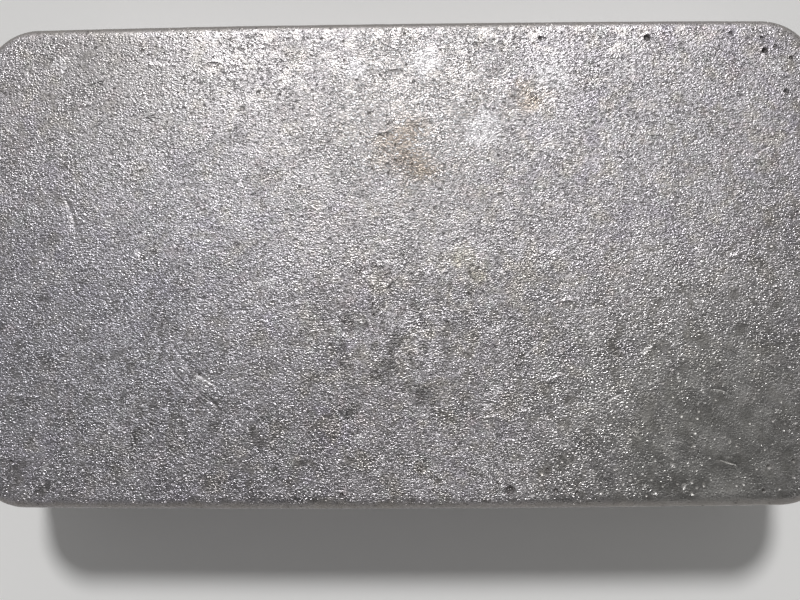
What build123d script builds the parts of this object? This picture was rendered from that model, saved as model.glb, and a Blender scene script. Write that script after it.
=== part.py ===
from build123d import *

import math
import os
from dataclasses import dataclass

# A cast silver bar of 100 troy ounces, solid, in one piece.
# It lies as it is handled: the open face of the pour is down on the floor at Z = 0,
# and the face that lay on the floor of the mould is up. +X runs along the bar.
# Lengths are in millimetres and angles in degrees.

# Outline of the open face, where the tapered bar is largest
BAR_LENGTH = 141.0
BAR_WIDTH = 82.0
BAR_THICKNESS = 26.9

# The long sides and the ends bow outwards by these heights in the middle
SIDE_BOW = 0.5
END_BOW = 0.35

# Upright corners, in plan, at the open face
CORNER_RADIUS = 10.5

# The walls lean in towards the mould face, so that the bar drops out of its mould
WALL_DRAFT = 2.5

# Rounded edges: the mould's own fillet above, and the metal's skin below
MOULD_EDGE_RADIUS = 1.8
OPEN_EDGE_RADIUS = 2.4

# The oval hollow that shrinkage leaves in the open face, and the flat rim around it
HOLLOW_DEPTH = 0.9
RIM_WIDTH = 5.5


@dataclass(frozen=True)
class Blowhole:
    """A gas hole, round at its mouth, that opened in the mould face near its rounded edge.

    It belongs to the end and the side that it is nearest to, each named by its sign on the
    axis, and is set in from the lines where the flat of the mould face stops there.
    """

    end: int
    side: int
    end_inset: float
    side_inset: float
    mouth_radius: float
    depth: float


# The gas holes wide enough to see at arm's length
BLOWHOLES = (
    Blowhole(end=1, side=1, end_inset=26.6, side_inset=1.8, mouth_radius=0.55, depth=0.5),
    Blowhole(end=1, side=1, end_inset=7.6, side_inset=4.2, mouth_radius=0.45, depth=0.45),
    Blowhole(end=1, side=1, end_inset=4.4, side_inset=11.1, mouth_radius=0.4, depth=0.35),
    Blowhole(end=1, side=-1, end_inset=9.8, side_inset=4.9, mouth_radius=0.35, depth=0.3),
    Blowhole(end=1, side=-1, end_inset=43.1, side_inset=1.3, mouth_radius=0.35, depth=0.35),
    Blowhole(end=1, side=-1, end_inset=50.2, side_inset=1.4, mouth_radius=0.8, depth=0.45),
)


def bowed_outline():
    """The open face in plan: four bowed sides that run smoothly into round corners."""
    half_length = BAR_LENGTH / 2
    half_width = BAR_WIDTH / 2
    corner_x = half_length - END_BOW
    corner_y = half_width - SIDE_BOW
    with BuildSketch() as plan:
        with BuildLine():
            ThreePointArc((-corner_x, -corner_y), (0, -half_width), (corner_x, -corner_y))
            ThreePointArc((corner_x, -corner_y), (half_length, 0), (corner_x, corner_y))
            ThreePointArc((corner_x, corner_y), (0, half_width), (-corner_x, corner_y))
            ThreePointArc((-corner_x, corner_y), (-half_length, 0), (-corner_x, -corner_y))
        make_face()
        fillet(plan.vertices(), CORNER_RADIUS)
    return plan.sketch


def cast_block():
    """The drafted block, with the mould's fillet round its top and the skin's round below."""
    block = extrude(bowed_outline(), amount=BAR_THICKNESS, taper=WALL_DRAFT)
    mould_face = block.faces().sort_by(Axis.Z)[-1]
    block = fillet(mould_face.edges(), MOULD_EDGE_RADIUS)
    open_face = block.faces().sort_by(Axis.Z)[0]
    return fillet(open_face.edges(), OPEN_EDGE_RADIUS)


def arc_radius(half_chord, rise):
    """The radius of an arc that rises by this much over this half chord."""
    return (half_chord**2 + rise**2) / (2 * rise)


def shrinkage_hollow():
    """A wide, shallow barrel of revolution whose crown sinks an oval into the open face."""
    margin = OPEN_EDGE_RADIUS + RIM_WIDTH
    half_length = BAR_LENGTH / 2 - margin
    half_width = BAR_WIDTH / 2 - margin
    axis_height = HOLLOW_DEPTH - arc_radius(half_width, HOLLOW_DEPTH)
    with BuildSketch(Plane.XZ) as profile:
        with BuildLine():
            ThreePointArc((-half_length, 0), (0, HOLLOW_DEPTH), (half_length, 0))
            Polyline(
                (half_length, 0),
                (half_length, axis_height),
                (-half_length, axis_height),
                (-half_length, 0),
            )
        make_face()
    return revolve(profile.sketch, axis=Axis((0, 0, axis_height), (1, 0, 0)))


def flat_reach(half_size):
    """How far the flat of the mould face reaches, where the open face reaches half_size."""
    lean = BAR_THICKNESS * math.tan(math.radians(WALL_DRAFT))
    return half_size - lean - MOULD_EDGE_RADIUS


def gas_bubble(hole):
    """The round bubble that cuts one blowhole into the mould face."""
    radius = arc_radius(hole.mouth_radius, hole.depth)
    x = hole.end * (flat_reach(BAR_LENGTH / 2) - hole.end_inset)
    y = hole.side * (flat_reach(BAR_WIDTH / 2) - hole.side_inset)
    return Pos(x, y, BAR_THICKNESS + radius - hole.depth) * Sphere(radius)


def silver_bar():
    """The whole bar: the drafted block less the hollow of its open face and its blowholes."""
    bubbles = [gas_bubble(hole) for hole in BLOWHOLES]
    return cast_block() - shrinkage_hollow() - bubbles


def main():
    os.makedirs("parts", exist_ok=True)
    export_step(silver_bar(), "parts/silver_bar.step")


main()
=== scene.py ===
"""A cast silver bar of 100 troy ounces, lying with its pitted mould face up.

The bar is one skin of cast metal. Its smooth form follows the frame: a bowed outline, drafted
walls, rounded edges and the hollow that shrinkage leaves in the open face below. Into that form
go the marks of the casting: gas pits and blowholes, flow marks, laps and a slight unevenness.
Lengths are in millimetres until a mesh is made, and the meshes are in metres.
"""

import logging
import math
from dataclasses import asdict, dataclass, field
from enum import Enum
from functools import cached_property
from typing import Callable, Optional, Union

import bmesh
import bpy
import numpy as np
from mathutils import Matrix, Vector
from mathutils.geometry import delaunay_2d_cdt
from mathutils.kdtree import KDTree


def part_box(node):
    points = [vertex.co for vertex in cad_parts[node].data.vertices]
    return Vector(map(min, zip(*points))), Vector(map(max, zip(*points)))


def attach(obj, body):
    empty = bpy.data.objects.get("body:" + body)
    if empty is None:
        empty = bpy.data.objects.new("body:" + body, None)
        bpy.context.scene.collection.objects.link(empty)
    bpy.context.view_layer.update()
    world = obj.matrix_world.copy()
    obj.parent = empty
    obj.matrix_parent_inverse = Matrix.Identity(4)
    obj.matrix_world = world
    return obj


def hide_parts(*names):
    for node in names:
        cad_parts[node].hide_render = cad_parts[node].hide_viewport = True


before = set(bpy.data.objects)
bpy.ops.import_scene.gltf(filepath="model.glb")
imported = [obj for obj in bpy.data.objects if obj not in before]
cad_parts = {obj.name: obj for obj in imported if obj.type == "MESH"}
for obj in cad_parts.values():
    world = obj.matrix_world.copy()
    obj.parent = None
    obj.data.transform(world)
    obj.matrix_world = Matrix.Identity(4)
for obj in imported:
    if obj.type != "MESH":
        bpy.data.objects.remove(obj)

log = logging.getLogger("silver_bar")

# The names that the frame knows the bar by
BAR_NODE = "silver_bar"
BODY = "root"

# A millimetre in metres, and the height of the mould face in millimetres
MM = 0.001
TOP = 26.9

# Distances in millimetres that count as none: along the outline, and between points knitted
NO_LENGTH = 1e-9
NO_GAP = 1e-8


class Skin(Enum):
    """The three stretches that the bar's skin is knitted from."""

    MOULD_FACE = "mould face"
    WALLS = "walls"
    OPEN_FACE = "open face"


class Wire:
    """The output of a node, which takes part in sums and products as a number does."""

    def __init__(self, sheet: "NodeSheet", socket: bpy.types.NodeSocket) -> None:
        """Holds one output of a node.

        Args:
            sheet: The node tree that the output belongs to.
            socket: The output itself.
        """
        self.sheet = sheet
        self.socket = socket

    def output(self, name: str) -> "Wire":
        """Another output of the same node, by its name."""
        return Wire(self.sheet, self.socket.node.outputs[name])

    def __add__(self, other: "Operand") -> "Wire":
        """The sum."""
        return self.sheet.maths("ADD", self, other)

    def __radd__(self, other: "Operand") -> "Wire":
        """The sum, with this wire on the right."""
        return self.sheet.maths("ADD", other, self)

    def __sub__(self, other: "Operand") -> "Wire":
        """The difference."""
        return self.sheet.maths("SUBTRACT", self, other)

    def __rsub__(self, other: "Operand") -> "Wire":
        """The difference, with this wire on the right."""
        return self.sheet.maths("SUBTRACT", other, self)

    def __mul__(self, other: "Operand") -> "Wire":
        """The product."""
        return self.sheet.maths("MULTIPLY", self, other)

    def __rmul__(self, other: "Operand") -> "Wire":
        """The product, with this wire on the right."""
        return self.sheet.maths("MULTIPLY", other, self)

    def __truediv__(self, other: "Operand") -> "Wire":
        """The quotient."""
        return self.sheet.maths("DIVIDE", self, other)

    def __rtruediv__(self, other: "Operand") -> "Wire":
        """The quotient, with this wire on the right."""
        return self.sheet.maths("DIVIDE", other, self)

    def __pow__(self, other: "Operand") -> "Wire":
        """The power."""
        return self.sheet.maths("POWER", self, other)


# What a node's input takes
Operand = Union[Wire, float, int]
Setting = Union[Wire, float, int, bool, str, tuple, bpy.types.ID]

# A colour is linear, a span runs from where something begins to where it ends, and a fray is
# the size of the noise that frays an outline and how far that reaches
Colour = tuple[float, float, float]
Place = tuple[float, float, float]
Span = tuple[float, float]
Fray = tuple[float, float]

# Round marks on the mould face: x, y and radius, and for an area its strength too
Spot = tuple[float, float, float]
Area = tuple[float, float, float, float]

# Tells how far inside a border some places lie
Room = Callable[[np.ndarray], np.ndarray]


class NodeSheet:
    """A node tree that nodes are laid on, of either kind: a material's or a shape's."""

    # The sockets of a Mix node that are for colours
    MIX_FACTOR, MIX_FIRST, MIX_SECOND, MIX_RESULT = 0, 6, 7, 2

    def __init__(self, tree: bpy.types.NodeTree) -> None:
        """Starts on an empty tree.

        Args:
            tree: The node tree, whose own nodes are cleared away.
        """
        self.tree = tree
        tree.nodes.clear()

    def add(
        self,
        kind: str,
        settings: Optional[dict[str, object]] = None,
        inputs: Optional[dict[Union[int, str], Setting]] = None,
        output: Union[int, str] = 0,
    ) -> Wire:
        """Lays one node and joins its inputs.

        Args:
            kind: The node's type.
            settings: Its properties, which are set first, such as an operation.
            inputs: A value or a wire for each input, by the input's name or place.
            output: Which output comes back, by its name or place.

        Returns:
            That output of the new node.
        """
        node = self.tree.nodes.new(kind)
        for name, value in (settings or {}).items():
            setattr(node, name, value)
        for name, value in (inputs or {}).items():
            self.join(value, node.inputs[name])
        return Wire(self, node.outputs[output] if node.outputs else None)

    def join(self, value: Setting, socket: bpy.types.NodeSocket) -> None:
        """Gives a value or a wire to one input.

        Args:
            value: The value or the wire.
            socket: The input.
        """
        if isinstance(value, Wire):
            self.tree.links.new(value.socket, socket)
        elif socket.type == "RGBA":
            socket.default_value = (*value, 1.0)
        else:
            socket.default_value = value

    def maths(self, operation: str, *values: Operand) -> Wire:
        """One step of arithmetic on numbers."""
        return self.add("ShaderNodeMath", {"operation": operation}, dict(enumerate(values)))

    def vectors(self, operation: str, *values: Setting) -> Wire:
        """One step of arithmetic on vectors, which gives a vector."""
        return self.add("ShaderNodeVectorMath", {"operation": operation}, dict(enumerate(values)))

    def measure(self, operation: str, *values: Setting) -> Wire:
        """One step of arithmetic on vectors, which gives a number."""
        return self.vectors(operation, *values).output("Value")

    def stretch(self, vector: Wire, factor: Operand) -> Wire:
        """A vector made longer or shorter by a factor."""
        scale = {"operation": "SCALE"}
        return self.add("ShaderNodeVectorMath", scale, {"Vector": vector, "Scale": factor})

    def vector(self, x: Operand = 0.0, y: Operand = 0.0, z: Operand = 0.0) -> Wire:
        """A vector of three numbers."""
        return self.add("ShaderNodeCombineXYZ", inputs={"X": x, "Y": y, "Z": z})

    def part(self, vector: Wire, axis: str) -> Wire:
        """One part of a vector: its X, Y or Z."""
        return self.add("ShaderNodeSeparateXYZ", inputs={0: vector}, output=axis)

    def lift(self, value: Wire, least: float) -> Wire:
        """What ran from 0 to 1, raised so that it runs from its least value to 1."""
        return least + (1.0 - least) * value

    def noise(self, place: Wire, size: float, detail: float = 2.0, seed: Operand = 0.0) -> Wire:
        """Smooth noise about one half, with lumps about as wide as a given size.

        Args:
            place: Where the noise is read.
            size: The width of a lump, in the units of the place.
            detail: How many finer layers it has.
            seed: Which of many like patterns it is.

        Returns:
            A value from 0 to 1.
        """
        inputs = {"Vector": place, "W": seed, "Scale": 1.0 / size, "Detail": detail}
        return self.add("ShaderNodeTexNoise", {"noise_dimensions": "4D"}, inputs)

    def ramp(self, value: Operand, low: float, high: float) -> Wire:
        """A smooth step from 0 at low to 1 at high, or the other way where low is above high."""
        inputs = {"Value": value, "From Min": low, "From Max": high}
        return self.add("ShaderNodeMapRange", {"interpolation_type": "SMOOTHSTEP"}, inputs)

    def spot(self, place: Wire, centre: Place, radius: float) -> Wire:
        """A soft round spot: 1 at its centre and 0 from its radius outwards."""
        return self.ramp(self.measure("DISTANCE", place, centre), radius, 0.0)

    def blend(self, factor: Operand, first: Setting, second: Setting) -> Wire:
        """A colour between two: the first at 0 and the second at 1."""
        inputs = {self.MIX_FACTOR: factor, self.MIX_FIRST: first, self.MIX_SECOND: second}
        return self.add("ShaderNodeMix", {"data_type": "RGBA"}, inputs, self.MIX_RESULT)


class ShapeTree(NodeSheet):
    """A tree of Geometry Nodes with named inputs, and the way to use it on an object."""

    def __init__(self, name: str) -> None:
        """Starts an empty tree that takes and gives geometry.

        Args:
            name: The tree's name.
        """
        super().__init__(bpy.data.node_groups.new(name, "GeometryNodeTree"))
        self.interface = self.tree.interface
        for way in ("INPUT", "OUTPUT"):
            self.interface.new_socket("Geometry", in_out=way, socket_type="NodeSocketGeometry")
        self.names: dict[str, str] = {}
        self.entry = self.tree.nodes.new("NodeGroupInput")

    def take(self, kind: str, *names: str) -> None:
        """Gives the tree named inputs of one kind: Float, Int or Material.

        Args:
            kind: The kind.
            *names: The name of each.
        """
        for name in names:
            socket = self.interface.new_socket(
                name, in_out="INPUT", socket_type=f"NodeSocket{kind}"
            )
            self.names[name] = socket.identifier

    def given(self, name: str) -> Wire:
        """What one of the named inputs gives."""
        return Wire(self, self.entry.outputs[name])

    def close(self, geometry: Wire) -> None:
        """Ends the tree: its instances are made real and its finish is set.

        Args:
            geometry: The geometry that it has made.
        """
        real = self.add("GeometryNodeRealizeInstances", inputs={"Geometry": geometry})
        inputs = {"Geometry": real, "Material": self.given("Finish")}
        dressed = self.add("GeometryNodeSetMaterial", inputs=inputs)
        self.add("NodeGroupOutput", inputs={"Geometry": dressed})

    def apply(self, piece: bpy.types.Object, **values: Setting) -> bpy.types.Mesh:
        """Runs the tree on an object and gives the plain mesh that comes out.

        Args:
            piece: The object, which loses the modifier again.
            **values: The value of each named input, with spaces as underscores.

        Returns:
            The new mesh.
        """
        modifier = piece.modifiers.new(self.tree.name, "NODES")
        modifier.node_group = self.tree
        for name, value in values.items():
            modifier[self.names[name.replace("_", " ").capitalize()]] = value
        bpy.context.view_layer.update()
        depsgraph = bpy.context.evaluated_depsgraph_get()
        mesh = bpy.data.meshes.new_from_object(
            piece.evaluated_get(depsgraph), preserve_all_data_layers=True, depsgraph=depsgraph
        )
        piece.modifiers.remove(modifier)
        return mesh


class FinishTree(NodeSheet):
    """The tree of a new material."""

    def __init__(self, name: str) -> None:
        """Makes the material, with an empty tree.

        Args:
            name: The material's name.
        """
        self.material = bpy.data.materials.new(name)
        self.material.use_nodes = True
        super().__init__(self.material.node_tree)

    @cached_property
    def place(self) -> Wire:
        """Where a pattern is read, in millimetres on Object coordinates."""
        return self.stretch(self.add("ShaderNodeTexCoord", output="Object"), 1 / MM)

    def close(self, inputs: dict[str, Setting]) -> bpy.types.Material:
        """Ends the tree with its shader.

        Args:
            inputs: A value or a wire for each input of the shader.

        Returns:
            The material.
        """
        shader = self.add("ShaderNodeBsdfPrincipled", inputs=inputs)
        self.add("ShaderNodeOutputMaterial", inputs={"Surface": shader})
        return self.material


def put_in_scene(name: str, data: bpy.types.ID) -> bpy.types.Object:
    """Makes an object and puts it in the scene.

    Args:
        name: Its name.
        data: Its mesh, lamp or camera.

    Returns:
        The object.
    """
    piece = bpy.data.objects.new(name, data)
    bpy.context.scene.collection.objects.link(piece)
    return piece


def weld_doubles(mesh: bpy.types.Mesh, distance: float) -> None:
    """Merges points that lie close together, drops loose ones and turns the faces outwards.

    Args:
        mesh: The mesh, which is changed.
        distance: How close two points have to be, in metres.
    """
    work = bmesh.new()
    work.from_mesh(mesh)
    bmesh.ops.remove_doubles(work, verts=work.verts, dist=distance)
    loose = [vertex for vertex in work.verts if not vertex.link_faces]
    bmesh.ops.delete(work, geom=loose, context="VERTS")
    bmesh.ops.recalc_face_normals(work, faces=work.faces)
    open_edges = sum(not edge.is_manifold for edge in work.edges)
    work.to_mesh(mesh)
    work.free()
    log.info("welded skin: %d triangles, %d open edges", len(mesh.polygons), open_edges)


@dataclass(frozen=True)
class Arc:
    """A stretch of the outline: an arc, told by the angles of its outward normal."""

    centre: tuple[float, float]
    radius: float
    start: float
    end: float

    def length(self) -> float:
        """How long the stretch is."""
        return self.radius * (self.end - self.start)


def arc_radius(half_chord: float, rise: float) -> float:
    """The radius of an arc that rises by this much over this half chord."""
    return (half_chord**2 + rise**2) / (2 * rise)


@dataclass(frozen=True)
class BarForm:
    """The bar's smooth form: the outline of its open face, its profile and its hollow."""

    half_length: float
    half_width: float
    thickness: float
    side_bow: float = 0.5
    end_bow: float = 0.35
    corner_radius: float = 10.5
    draft: float = math.radians(2.5)
    mould_edge: float = 1.8
    open_edge: float = 2.4
    hollow_depth: float = 0.9
    rim_width: float = 5.5
    lip_softness: float = 0.05
    lip_drop: float = 0.2

    @classmethod
    def from_frame(cls) -> "BarForm":
        """The form whose outer sizes are those of the CAD bar.

        The CAD box touches the round of the open face's edge, and the outline is that of the
        walls carried on to a sharp edge, a little outside it.

        Returns:
            The form.
        """
        low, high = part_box(BAR_NODE)
        size = (high - low) / MM
        lean = cls.draft
        beyond = cls.open_edge * ((1 + math.sin(lean)) / math.cos(lean) - 1)
        return cls(size.x / 2 + beyond, size.y / 2 + beyond, size.z)

    def quarter(self) -> tuple[Arc, Arc, Arc]:
        """A quarter of the outline, from the middle of the +X end to that of the +Y side.

        Returns:
            The arcs of the end, of the corner and of the side.
        """
        end_radius = arc_radius(self.half_width - self.side_bow, self.end_bow)
        side_radius = arc_radius(self.half_length - self.end_bow, self.side_bow)
        end_centre = np.array([self.half_length - end_radius, 0.0])
        side_centre = np.array([0.0, self.half_width - side_radius])
        corner = self._corner_centre(end_centre, end_radius, side_centre, side_radius)
        first = math.atan2(*(corner - end_centre)[::-1])
        second = math.atan2(*(corner - side_centre)[::-1])
        return (
            Arc(tuple(end_centre), end_radius, 0.0, first),
            Arc(tuple(corner), self.corner_radius, first, second),
            Arc(tuple(side_centre), side_radius, second, math.pi / 2),
        )

    def _corner_centre(
        self, end_centre: np.ndarray, end_radius: float, side_centre: np.ndarray, side_radius: float
    ) -> np.ndarray:
        """Where the corner's arc has its centre, so that it runs into both its neighbours.

        Args:
            end_centre: The centre of the end's arc.
            end_radius: Its radius.
            side_centre: The centre of the side's arc.
            side_radius: Its radius.

        Returns:
            The centre.
        """
        reach_end = end_radius - self.corner_radius
        reach_side = side_radius - self.corner_radius
        apart = side_centre - end_centre
        distance = float(np.hypot(*apart))
        along = (distance**2 + reach_end**2 - reach_side**2) / (2 * distance)
        aside = math.sqrt(reach_end**2 - along**2)
        unit = apart / distance
        normal = np.array([unit[1], -unit[0]])
        options = [end_centre + along * unit + sign * aside * normal for sign in (1, -1)]
        return max(options, key=lambda point: float(point.sum()))

    def girth(self) -> float:
        """How long the whole outline is."""
        return 4 * sum(arc.length() for arc in self.quarter())

    def outline(self, along: np.ndarray) -> tuple[np.ndarray, np.ndarray]:
        """Points of the outline and their outward normals.

        Args:
            along: How far along the outline each point lies, from the middle of the +X end.

        Returns:
            The points and the normals, one row each.
        """
        quarter_length = self.girth() / 4
        along = np.mod(along, 4 * quarter_length)
        number = np.minimum((along // quarter_length).astype(int), 3)
        rest = along - number * quarter_length
        rest = np.where(number % 2 == 1, quarter_length - rest, rest)
        points = np.zeros((len(along), 2))
        normals = np.zeros((len(along), 2))
        begun = 0.0
        for arc in self.quarter():
            angle = arc.start + (rest - begun) / arc.radius
            here = rest >= begun - NO_LENGTH
            normal = np.stack([np.cos(angle), np.sin(angle)], axis=1)
            points[here] = (np.array(arc.centre) + arc.radius * normal)[here]
            normals[here] = normal[here]
            begun += arc.length()
        mirror = np.array([[1, 1], [-1, 1], [-1, -1], [1, -1]])[number]
        return points * mirror, normals * mirror

    def inset(self, places: np.ndarray) -> np.ndarray:
        """How far inside the outline some places lie.

        Args:
            places: The places in plan, one row each.

        Returns:
            Their distances from the outline, below 0 outside it.
        """
        folded = np.abs(places)
        end, corner, side = self.quarter()
        from_corner = folded - np.array(corner.centre)
        angle = np.arctan2(from_corner[:, 1], from_corner[:, 0])
        at_corner = (angle > corner.start) & (angle < corner.end)
        to_corner = corner.radius - np.hypot(*from_corner.T)
        to_end = end.radius - np.hypot(*(folded - np.array(end.centre)).T)
        to_side = side.radius - np.hypot(*(folded - np.array(side.centre)).T)
        return np.where(at_corner, to_corner, np.minimum(to_end, to_side))

    def open_flat_inset(self) -> float:
        """How far inside the outline the flat of the open face begins."""
        return self.open_edge * (1 + math.sin(self.draft)) / math.cos(self.draft)

    def mould_flat_inset(self) -> float:
        """How far inside the outline the flat of the mould face begins."""
        height = self.thickness - self.mould_edge
        return height * math.tan(self.draft) + self.mould_edge / math.cos(self.draft)

    def lower_round(self) -> float:
        """The length of the profile's lower round."""
        return self.open_edge * (math.pi / 2 + self.draft)

    def upper_round(self) -> float:
        """The length of the profile's upper round."""
        return self.mould_edge * (math.pi / 2 - self.draft)

    def round_centres(self) -> tuple[np.ndarray, np.ndarray]:
        """The centres of the profile's two rounds, each as its inset and height."""
        lower = np.array([self.open_flat_inset(), self.open_edge])
        return lower, np.array([self.mould_flat_inset(), self.thickness - self.mould_edge])

    def wall_ends(self) -> tuple[np.ndarray, np.ndarray]:
        """The lower and the upper end of the profile's straight wall.

        Returns:
            The inset and the height of each.
        """
        out_and_up = np.array([-math.cos(self.draft), math.sin(self.draft)])
        reaches = (self.open_edge, self.mould_edge)
        return tuple(centre + r * out_and_up for centre, r in zip(self.round_centres(), reaches))

    def profile_length(self) -> float:
        """The profile's length from flat to flat."""
        lower, upper = self.wall_ends()
        return self.lower_round() + float(np.hypot(*(upper - lower))) + self.upper_round()

    def profile(self, climb: np.ndarray) -> tuple[np.ndarray, np.ndarray, np.ndarray]:
        """The profile of the edges and the wall, from the open face up to the mould face.

        Args:
            climb: How far along the profile each point lies.

        Returns:
            The insets, the heights, and the outward normals as how much they point out and up.
        """
        lower, upper = self.wall_ends()
        wall = self.profile_length() - self.lower_round() - self.upper_round()
        low_turn = np.clip(climb / self.open_edge, 0, math.pi / 2 + self.draft)
        past = climb - self.lower_round() - wall
        high_turn = math.pi / 2 + self.draft + np.clip(past / self.mould_edge, 0, None)
        on_wall = np.clip((climb - self.lower_round()) / wall, 0, 1)[:, None]
        turn = np.where(past > 0, high_turn, low_turn)
        normal = np.stack([np.sin(turn), -np.cos(turn)], axis=1)
        swing = np.stack([-normal[:, 0], normal[:, 1]], axis=1)
        low_centre, high_centre = self.round_centres()
        low_point = low_centre + self.open_edge * swing
        high_point = high_centre + self.mould_edge * swing
        wall_point = lower + (upper - lower) * on_wall
        point = np.where((on_wall > 0) & (on_wall < 1), wall_point, low_point)
        point = np.where((past > 0)[:, None], high_point, point)
        return point[:, 0], point[:, 1], normal

    def from_rounds(self, climb: np.ndarray) -> np.ndarray:
        """How far some points of the profile lie from its rounds.

        Args:
            climb: How far along the profile each point lies.

        Returns:
            Their distances, below 0 on a round.
        """
        low, high = self.lower_round(), self.profile_length() - self.upper_round()
        past_low = np.maximum(climb - low, -climb)
        past_high = np.maximum(high - climb, climb - self.profile_length())
        return np.minimum(past_low, past_high)

    def hollow(self, places: np.ndarray) -> np.ndarray:
        """How far the shrinkage hollow has sunk into the open face.

        Args:
            places: The places in plan, one row each.

        Returns:
            The depth at each place, with a soft lip where the hollow begins.
        """
        margin = self.open_edge + self.rim_width
        half_length = self.half_length - margin
        half_width = self.half_width - margin
        along_radius = arc_radius(half_length, self.hollow_depth)
        across_radius = arc_radius(half_width, self.hollow_depth)
        x = np.clip(np.abs(places[:, 0]), 0, along_radius)
        crown = self.hollow_depth - along_radius + np.sqrt(along_radius**2 - x**2)
        girth = np.clip(crown - self.hollow_depth + across_radius, 0, None)
        y = np.clip(np.abs(places[:, 1]), 0, girth)
        sunk = np.sqrt(girth**2 - y**2) - across_radius + self.hollow_depth
        lip = 0.5 * (sunk + np.sqrt(sunk**2 + self.lip_softness**2))
        return np.clip(lip - self.lip_drop * self.lip_softness, 0, None)


@dataclass(frozen=True)
class Blowhole:
    """A gas hole in the mould face, as in the CAD, set in from the flat's nearest end and side."""

    end: int
    side: int
    end_inset: float
    side_inset: float
    mouth_radius: float
    depth: float


@dataclass(frozen=True)
class Stroke:
    """A mark that flowing metal left in the mould face: a thin bowed groove or ridge."""

    start: tuple[float, float]
    end: tuple[float, float]
    sag: float = 0.3
    half_width: float = 0.22
    depth: float = 0.12


@dataclass(frozen=True)
class PitCrop:
    """A crop of like gas pits, scattered over one stretch of the skin."""

    spacing: float
    smallest: float
    largest: float
    depth: float
    rim_points: int
    floor_points: int
    share: float
    seed: int
    calm: float = 0.0


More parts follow.
